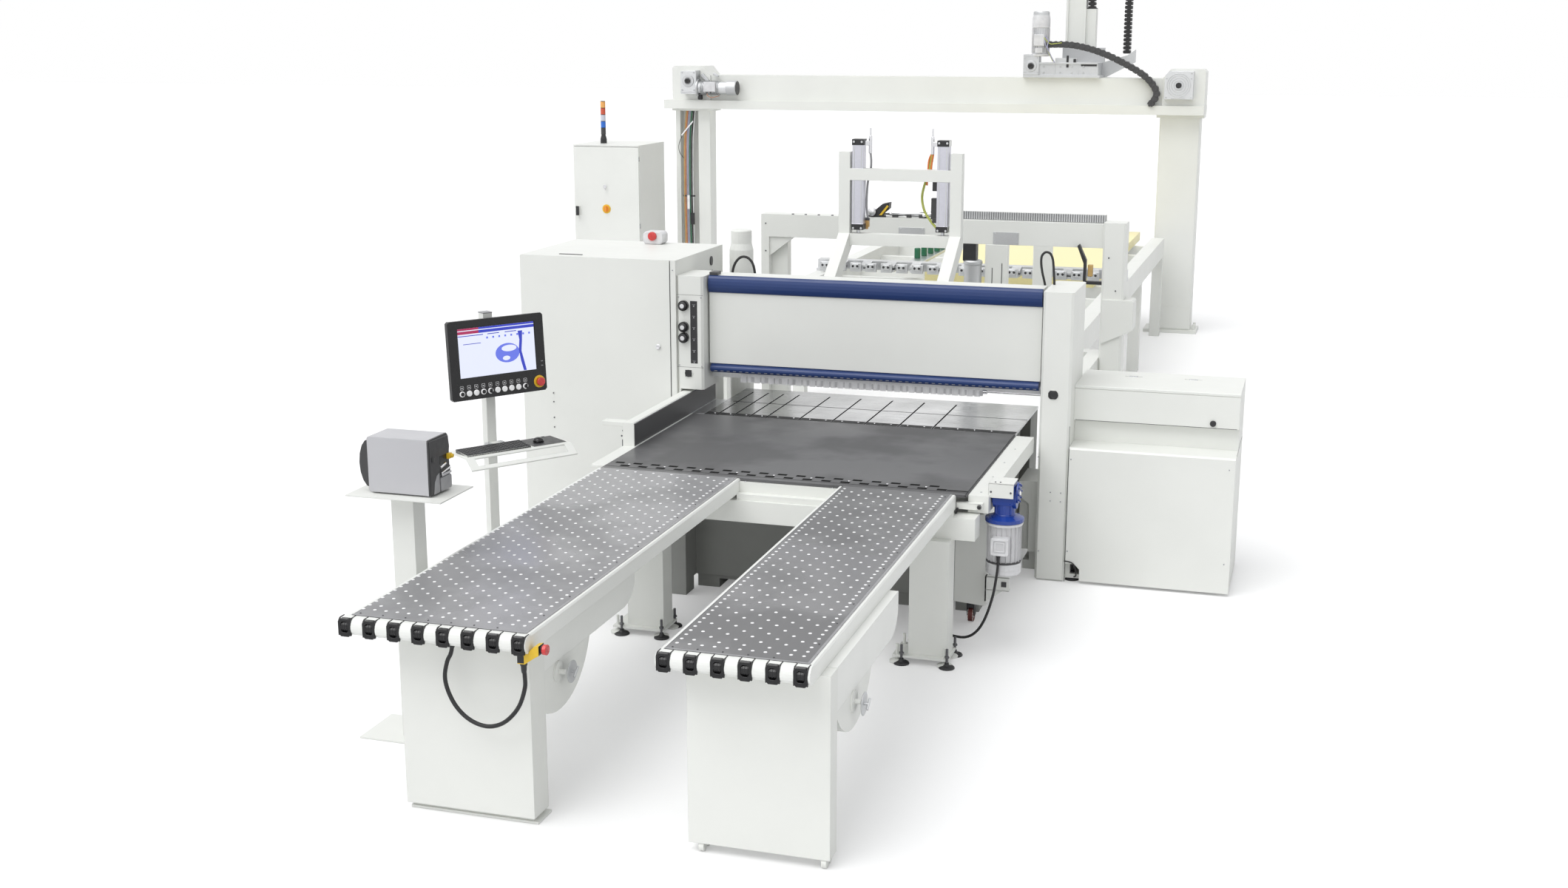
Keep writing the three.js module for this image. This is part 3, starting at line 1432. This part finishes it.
place("monitor", turnedToOperator(leaned(monitor())), blackPlastic());

function monitorStop() {
  const profile = mushroom(stop).map(([r, h]) => [r, -h]);
  return turned("y", profile.reverse(), [screenStopX(), 0, screenStopZ()], sides.round);
}

place("monitor_e_stop", turnedToOperator(leaned(monitorStop())), redPlastic());

function keyboardTray() {
  const t = tray;
  const half = t.width / 2;
  const z = t.z;
  const fold = -t.depth;
  const tip = fold - t.lipOut;
  const bent = [
    [tip, z - t.lipDrop], [tip + t.thick, z - t.lipDrop - t.thick / 2],
    [fold + t.thick / 2, z - t.thick], [t.back, z - t.thick], [t.back, z], [fold, z],
  ];
  const slotHalf = half - t.slotInset;
  const slot = block(-slotHalf, slotHalf, tip + t.lipBar, fold - t.thick, z - t.lipDrop, z + overrun);
  let solid = cut(prism("x", bent, -half, half), slot);
  solid = join(
    solid, bar("x", t.railRadius, -half, half, [0, tip + t.railRadius, z - t.lipDrop], sides.small),
  );
  const boardX = -half + t.boardX;
  const boardY = fold + t.boardInset;
  const boardBack = boardY + t.boardDepth;
  const slope = [
    [boardY, z - overrun], [boardBack, z - overrun], [boardBack, z + t.board], [boardY, z + t.board / 2],
  ];
  solid = join(solid, prism("x", slope, boardX, boardX + t.boardWidth));
  const matX = boardX + t.boardWidth + t.boardX;
  return join(solid, block(matX, half - t.boardX, boardY, t.back - t.boardX, z - overrun, z + t.mat));
}

place("keyboard_tray", turnedToOperator(keyboardTray()), whitePaint());

// Label printer on its stand

function printerStand() {
  const s = stand;
  const foot = block(s.x0, s.x1, s.y0, s.y1, floor, s.foot);
  const columnBack = s.columnY + s.columnDepth;
  const column = block(s.columnX, s.columnX + s.column, s.columnY, columnBack, floor, s.trayZ);
  const x1 = s.trayX + s.trayWidth;
  const top = block(s.trayX, x1, s.trayY, s.trayY + s.trayDepth, s.trayZ - s.trayThick, s.trayZ);
  return join(foot, column, top);
}

place("printer_stand", printerStand(), whitePaint());

function labelPrinter() {
  const p = printer;
  const x0 = p.x0;
  const x1 = x0 + p.width;
  const y0 = p.y;
  const z0 = stand.trayZ + seat + p.foot;
  const y1 = y0 + p.depth;
  let solid = prism("y", bevelled(x0, x1, z0, z0 + p.height, p.round / 2), y0, y1);
  const middle = z0 + p.height / 2;
  const half = p.height / 2 - p.round;
  const backArc = arc(x0 + overrun, middle, p.bulge, half, Math.PI / 2, (3 * Math.PI) / 2, p.backFacets);
  solid = join(solid, prism("y", backArc, y0 + p.round, y1 - p.round));
  const at = (share) => z0 + p.height * share;
  const slotX = x1 - p.slotDepth;
  const slotLow = at(p.slotLowShare);
  const slot = block(slotX, x1 + overrun, y0 + p.round, y1 - p.round, slotLow, at(p.slotHighShare));
  const latchLow = at(p.latchLowShare);
  const latchBack = y0 + 2 * p.round;
  const latch = block(x1 - overrun, x1 + p.latch, y0 + p.round, latchBack, latchLow, at(p.latchHighShare));
  solid = join(cut(solid, slot), latch);
  for (const x of [x0 + p.round, x1 - 2 * p.round]) {
    for (const y of [y0 + p.round, y1 - 2 * p.round]) {
      solid = join(solid, block(x, x + p.round, y, y + p.round, z0 - p.foot, z0 + overrun));
    }
  }
  return solid;
}

place("label_printer", labelPrinter(), greyPlastic());

// Electrical cabinet

function electricsShell() {
  const e = electrics;
  const body = block(e.x0, e.x1, e.front + e.door + seat, e.back, floor, e.top - e.roof);
  const low = e.plinth + e.wall;
  const high = e.top - e.roof - e.wall;
  const room = block(e.x0 + e.wall, e.x1 - e.wall, e.front - overrun, e.back - e.wall, low, high);
  const roof = block(e.x0, e.x1, e.front, e.back, e.top - e.roof - overrun, e.top);
  return join(cut(body, room), roof);
}

place("electrical_cabinet", electricsShell(), whitePaint());

function electricsDoor() {
  const e = electrics;
  const low = e.plinth;
  const high = e.top - e.roof - overrun - e.doorGap;
  const outline = bevelled(e.x0 + e.doorGap, e.x1 - e.doorGap, low, high, e.doorGap);
  const panel = prism("y", outline, e.front, e.front + e.door);
  const handleX = e.x0 + e.wall;
  const handleLow = e.handleZ - e.handleTall;
  const handle = block(
    handleX, handleX + e.wall, e.front - e.door, e.front + overrun, handleLow, e.handleZ,
  );
  return join(panel, handle);
}

place("electrical_door", electricsDoor(), whitePaint());

function rotarySwitch() {
  const m = mainSwitch;
  const y = electrics.front - seat;
  const profile = [[0, 0], [m.radius, 0], [m.radius, -m.skirt], [0, -m.skirt]];
  const disc = turned("y", profile.reverse(), [electrics.switchX, y, electrics.switchZ], sides.round);
  const w = m.gripWidth / 2;
  const grip = block(
    electrics.switchX - w, electrics.switchX + w, y - m.skirt - m.grip, y - m.skirt + overrun,
    electrics.switchZ - m.radius + w / 2, electrics.switchZ + m.radius - w / 2,
  );
  return join(disc, grip);
}

place("main_switch", rotarySwitch(), redPlastic());

function signalTower() {
  const t = tower;
  const z0 = electrics.top + seat;
  const profile = [[0, 0], [t.foot, 0], [t.foot, t.footHeight / 2], [t.radius - t.neck, t.footHeight]];
  let h = t.footHeight;
  for (let i = 0; i < t.segments; i += 1) {
    profile.push([t.radius, h + t.neckHeight], [t.radius, h + t.segment]);
    h += t.segment;
    profile.push([t.radius - t.neck, h]);
  }
  profile.push([t.radius - t.neck, h + t.neckHeight], [0, h + t.neckHeight]);
  return turned("z", profile, [t.x, t.y, z0], sides.round);
}

place("signal_tower", signalTower(), greyPlastic());

// Transfer frame behind the saw

function portalFrame() {
  const p = portal;
  const y1 = p.y + p.depth;
  const rightX = p.x1 + p.rightWidth;
  const legX1 = p.x0 + p.leg;
  const webX1 = legX1 + p.web;
  let solid = block(p.x0, rightX, p.y, y1, p.beamBottom, p.beamTop);
  solid = join(solid, block(p.x0, legX1, p.y, y1, floor, p.beamTop));
  solid = join(solid, block(legX1 - overrun, webX1, p.y + p.webIn, y1, floor, p.beamTop));
  const gusset = [
    [legX1 - overrun, p.beamBottom + overrun], [legX1 - overrun, p.beamBottom - p.gusset],
    [legX1 + p.gussetReach, p.beamBottom + overrun],
  ];
  solid = join(solid, prism("y", gusset, p.y + p.foot, p.y + p.webIn + overrun));
  const upright = bevelled(p.x1, rightX, p.y - p.footReach, y1, p.foot);
  solid = join(solid, prism("z", upright, floor, p.rightTop));
  const tip = rightX + p.bracketReach;
  const bracket = [
    [p.x1 + p.foot, p.bracketBottom - p.bracketReach], [tip - p.footReach, p.bracketBottom],
    [tip, p.bracketBottom + p.footReach / 2], [tip, p.bracketTop - p.foot],
    [tip - p.foot, p.bracketTop], [p.x1 + p.foot, p.bracketTop],
  ];
  solid = join(solid, prism("y", bracket, p.y - p.footReach - p.foot, y1 - p.foot));
  const ductFront = y1 - p.ductDepth;
  solid = join(solid, block(p.ductX, p.x1, ductFront, y1, p.beamTop - overrun, p.beamTop + p.duct));
  const out = p.footReach;
  solid = join(solid, block(p.x0 - out, webX1 + out, p.y - out, y1 + out, floor, p.foot));
  return join(solid, block(p.x1 - out, rightX + out, p.y - 2 * out, y1 + out, floor, p.foot));
}

place("portal_frame", portalFrame(), whitePaint());

// Lift frame: two uprights with crossbars on slanting legs, and two air cylinders

function liftFrame() {
  const l = lift;
  const y0 = l.y;
  const y1 = l.y + l.size;
  let solid = block(l.xLeft, l.xRight + l.size, y0, y1, l.barBottom, l.barTop);
  solid = join(solid, block(l.xLeft, l.xRight + l.size, y0, y1, l.lowBottom, l.lowTop));
  for (const x of [l.xLeft, l.xRight]) {
    const slope = [
      [y1, l.lowBottom - overrun], [y1, l.lowTop], [y0, l.lowTop],
      [l.footY, l.footZ + l.size], [l.footY, l.footZ], [l.footY + l.size, l.footZ],
    ];
    const upright = block(x, x + l.size, y0, y1, l.lowBottom, l.top);
    solid = join(solid, upright, prism("x", slope, x, x + l.size));
  }
  for (const x of [l.xLeft + cylinder.offset, l.xRight + l.size - cylinder.offset - cylinder.width]) {
    solid = join(solid, airCylinder(x, y0));
  }
  return solid;
}

function airCylinder(x, y0) {
  const c = cylinder;
  const proud = (c.capWidth - c.width) / 2;
  const x1 = x + c.width + proud;
  const body = block(x, x + c.width, y0 + proud, y0 + c.width, c.bottom, c.top);
  const upper = block(x - proud, x1, y0, y0 + c.capWidth, c.top - overrun, c.top + c.cap);
  const lower = block(x - proud, x1, y0, y0 + c.capWidth, c.bottom - c.cap, c.bottom + overrun);
  const centre = [x + c.width / 2, y0 + c.width / 2, 0];
  return join(body, upper, lower, bar("z", c.rod, lift.lowTop - overrun, c.bottom, centre, sides.small));
}

place("lift_frame", liftFrame(), whitePaint());

// Rear table: side beams on legs with cross members and a stack of boards

function rearTable() {
  const r = rear;
  const low = r.top - r.height;
  let solid = block(r.x0, r.x0 + r.beam, r.y0, r.y1, low, r.top);
  solid = join(solid, block(r.x1 - r.beam, r.x1, portal.y + portal.depth + seat, r.y1, low, r.top));
  const nearEnd = portal.x1 - seat;
  const nearBack = portal.y + portal.depth + seat;
  const postBack = rightPost.front + rightPost.depth + seat;
  solid = join(solid, block(r.nearX, nearEnd, postBack, nearBack + r.beam, low, r.top));
  solid = join(solid, block(r.x1 - overrun, nearEnd, nearBack, nearBack + r.beam, low, r.top));
  const bars = r.crossbars;
  for (let i = 0; i < bars; i += 1) {
    const y = r.y0 + ((r.y1 - r.y0 - r.crossWidth) * i) / (bars - 1);
    solid = join(solid, block(r.x0, r.x1, y, y + r.crossWidth, low, low + r.crossHeight));
  }
  for (let i = 0; i < r.legs; i += 1) {
    const y = r.y0 + ((r.y1 - r.y0 - r.leg) * i) / (r.legs - 1);
    for (const x of [r.x0, r.x1 - r.leg]) {
      solid = join(solid, block(x, x + r.leg, y, y + r.leg, floor, low + overrun));
    }
  }
  const x0 = r.x0 + r.stackX;
  const y0 = r.y0 + r.stackY;
  const boards = block(x0, x0 + r.stackWidth, y0, y0 + r.stackLength, low + r.crossHeight - overrun, r.top);
  return join(solid, boards);
}

place("rear_table", rearTable(), whitePaint());

// Clamp carriage that pushes panels along the rear table

function clampCarriage() {
  const c = clampBar;
  const y1 = c.y + c.depth;
  let solid = block(rear.x0, rear.x1, c.y, y1, c.bottom, c.bottom + c.height);
  for (const x of [rear.x0, rear.x1 - rear.beam]) {
    const low = rear.top + seat;
    solid = join(solid, block(x, x + rear.beam, c.y - c.runner, y1 + c.runner, low, c.bottom + overrun));
  }
  for (let i = 0; i < c.count; i += 1) {
    const x = rear.x0 + rear.beam + (c.pitch - c.jaw) / 2 + c.pitch * i;
    const tip = c.y - c.jawReach;
    const root = c.y - c.jawRoot;
    const jaw = [
      [c.y + overrun, c.bottom], [tip, c.bottom], [tip, c.bottom + c.jawLow], [root, c.bottom + c.jawLow],
      [root, c.bottom + c.jawHigh], [tip, c.bottom + c.jawHigh], [tip, c.bottom + c.jawHeight],
      [c.y + overrun, c.bottom + c.jawBack],
    ];
    solid = join(solid, prism("x", jaw.reverse(), x, x + c.jaw));
  }
  return solid;
}

place("clamp_carriage", clampCarriage(), aluminium());

// Gantry: two columns, a flanged beam with its drive and idler, and a trolley with a mast

function gantryLeftColumn() {
  const g = gantryLeft;
  const top = gantry.bottom - seat;
  const y1 = g.y + g.depth;
  const column = block(g.x0, g.x1, g.y, y1, g.plate - overrun, top);
  const slotX = g.x0 + g.wall;
  const slotBack = g.y + g.depth / 2;
  const channel = block(slotX, slotX + g.slot, g.y - overrun, slotBack, g.plate * 2, top + overrun);
  const out = g.plateReach;
  const plate = block(g.x0 - out, g.x1 + out, g.y - out, y1 + out, floor, g.plate);
  const head = block(g.x0 - out / 2, g.x1 + out, g.y - out / 2, y1, top - g.plate, top);
  return join(cut(column, channel), plate, head);
}

place("gantry_left_column", gantryLeftColumn(), whitePaint());

function gantryRightColumn() {
  const g = gantryRight;
  const top = gantry.bottom - seat;
  const y1 = g.y + g.depth;
  const out = g.plateReach;
  let solid = prism("z", bevelled(g.x0, g.x1, g.y, y1, g.bevel), g.plate - overrun, top);
  solid = join(solid, block(g.x0 - out, g.x1 + out, g.y - out / 2, y1 + out, floor, g.plate));
  const clad0 = g.x0 + g.cladLeft;
  solid = join(solid, block(clad0, g.x1 - g.cladRight, g.y - g.clad, g.y + g.bevel, g.cladLow, g.cladTop));
  solid = join(solid, block(g.x0 - out / 2, g.x1 + out / 2, g.y - out / 4, y1, top - g.plate, top));
  for (const y of [g.y + out, y1 - out]) {
    solid = join(
      solid, bar("z", g.stud, 0, g.plate + footPad.stemRise, [g.x1 + out / 2, y, 0], sides.small),
    );
  }
  return solid;
}

place("gantry_right_column", gantryRightColumn(), whitePaint());

function gantryBeam() {
  const g = gantry;
  const y0 = g.front;
  const y1 = g.front + g.depth;
  const b = g.endBevel;
  const round = g.endRound;
  const left0 = g.x0 + g.leftIn;
  const left1 = left0 + g.leftEnd;
  const flange = block(g.x0, g.x1, y0 - g.flangeReach, y1, g.bottom, g.flangeTop);
  const web = block(left0, g.x1 - g.rightIn, y0, y1, g.flangeTop - overrun, g.top);
  const leftLine = [
    [left0, g.flangeTop], [left1, g.flangeTop], [left1, g.top], [left1 - b, g.endTop],
    [left0 + round, g.endTop], [left0, g.endTop - round],
  ];
  const rightX = g.x1 - g.rightEnd;
  const rightLine = [
    [rightX, g.flangeTop], [g.x1, g.flangeTop], [g.x1, g.endTop - round], [g.x1 - round, g.endTop],
    [rightX + b, g.endTop], [rightX, g.top],
  ];
  const endFront = y0 - g.endProud;
  const ends = [leftLine, rightLine].map((line) => prism("y", line, endFront, y1 - g.flangeReach));
  return join(flange, web, ...ends, driveUnit(endFront + overrun), idlerUnit(endFront + overrun));
}

// The belt's drive box with its motor lying along the beam
function driveUnit(front) {
  const d = drive;
  const outline = bevelled(d.boxX, d.boxX + d.box, d.boxZ, d.boxZ + d.boxTall, d.bevel);
  const box = prism("y", outline, front - d.boxDepth, front);
  const centre = [d.boxX + d.box, front - d.boxDepth / 2, d.boxZ + d.motorRadius];
  return join(box, barrel("x", d.motorRadius, d.bevel, -overrun, d.motorLength, centre, sides.fine));
}

// The belt's idler plate, with one corner cut off, and its hub
function idlerUnit(front) {
  const i = idler;
  const x1 = i.x + i.width;
  const z1 = i.z + i.height;
  const outline = [[i.x, i.z], [x1, i.z], [x1, z1], [i.x + i.corner, z1], [i.x, z1 - i.corner]];
  const centre = [i.x + i.width / 2, front, i.z + i.height / 2];
  return join(
    prism("y", outline, front - i.depth, front),
    bar("y", i.hub, -i.depth - i.hub, 0, centre, sides.round),
  );
}

place("gantry_beam", gantryBeam(), whitePaint());

function trolleySolid() {
  const t = trolley;
  const y0 = gantry.front - gantry.flangeReach;
  const y1 = mast.y - seat - mast.railProud;
  const z0 = gantry.top + seat;
  let solid = block(t.x0, t.x1, y0, y1, z0, z0 + t.base);
  const inner = t.x0 + t.box;
  solid = join(solid, block(inner, t.x1 - t.plate, y0 + t.plate, y1, z0, z0 + t.housing));
  solid = join(solid, block(t.x0, t.x0 + t.box, y0, y0 + t.boxDepth, z0, z0 + t.height + t.plate));
  const motorX = t.x0 + t.box;
  const motorY = y0 + t.boxDepth / 2;
  const motorLow = z0 + t.height;
  solid = join(
    solid,
    barrel("z", t.motorRadius, t.plate / 2, motorLow, t.motorTop, [motorX, motorY, 0], sides.fine),
  );
  const back = block(t.x1 - 2 * t.plate - t.height, t.x1, y1 - t.plate, y1, z0, z0 + t.plateTall);
  solid = join(solid, back);
  const reach = t.bracketReach;
  const bracket = [
    [t.x1 - t.plate, z0], [t.x1 + t.plate, z0], [t.x1 + reach, z0 + t.bracketLow],
    [t.x1 + reach, z0 + t.bracketRise], [t.x1 + reach - t.bracketEnd, z0 + t.bracketHigh],
    [t.x1 - t.plate, z0 + t.housing],
  ];
  solid = join(solid, prism("y", bracket, y1 - 2 * t.plate, y1));
  const guideX0 = mast.x0 - mast.rail;
  const guideX1 = mast.x1 + mast.rail;
  const guide = block(guideX0, guideX1, y1 - t.plate, y1, z0, z0 + t.plateTall);
  return join(solid, guide);
}

place("gantry_trolley", trolleySolid(), aluminium());

function mastSolid() {
  const m = mast;
  const y1 = m.y + m.depth;
  let solid = block(m.x0, m.x1, m.y, y1, m.bottom, m.top);
  for (const x of [m.x0, m.x1 - m.rail]) {
    solid = join(solid, block(x, x + m.rail, m.y - m.railProud, m.y + overrun, m.bottom + m.foot, m.top));
  }
  solid = join(solid, block(m.x1 - overrun, m.x1 + m.duct, m.y + m.rail, y1, m.bottom + m.foot, m.ductTop));
  const out = m.foot / 2;
  const cx = (m.x0 + m.x1) / 2;
  solid = join(
    solid, block(cx - out - m.foot, cx + out + m.foot, m.y, y1 + out, m.bottom, m.bottom + m.footThick),
  );
  return solid;
}

place("gantry_mast", mastSolid(), whitePaint());

// Energy chain from the trolley down to the beam's flange, one link after another

function energyChain() {
  const c = chain;
  const z0 = gantry.flangeTop + seat;
  const startX = trolley.x0 + trolley.box + trolley.motorRadius;
  const startZ = gantry.top + c.startRise;
  const run = gantry.x1 - gantry.rightEnd - startX;
  const rise = startZ - z0;
  const points = chainShares.map(([along, up]) => new THREE.Vector3(startX + run * along, up * rise + z0, 0));
  const curve = new THREE.CatmullRomCurve3(points, false, "centripetal");
  const places = curve.getSpacedPoints(c.links);
  const outer = [];
  const inner = [];
  places.forEach((p, i) => {
    const next = places[Math.min(i + 1, c.links)];
    const last = places[Math.max(i - 1, 0)];
    const tx = next.x - last.x;
    const tz = next.y - last.y;
    const length = Math.hypot(tx, tz);
    const nx = -tz / length;
    const nz = tx / length;
    const half = c.height / 2 - (i % 2) * c.joint;
    outer.push([p.x + nx * half, Math.max(p.y + nz * half, z0)]);
    inner.push([p.x - nx * half, Math.max(p.y - nz * half, z0)]);
  });
  const y1 = gantry.front - c.joint;
  return prism("y", [...inner, ...outer.reverse()], y1 - c.width, y1);
}

place("energy_chain", energyChain(), blackPlastic());

// The part's origin is the middle of its footprint, on the floor

const cords = new Set(["motor_cable", "e_stop_conduit"]);
const extent = new THREE.Box3();
group.updateMatrixWorld(true);
for (const mesh of group.children) {
  if (!cords.has(mesh.name)) {
    extent.expandByObject(mesh, true);
  }
}
const middle = extent.getCenter(new THREE.Vector3());
group.position.set(-middle.x, -middle.y, -extent.min.z);

export default group;
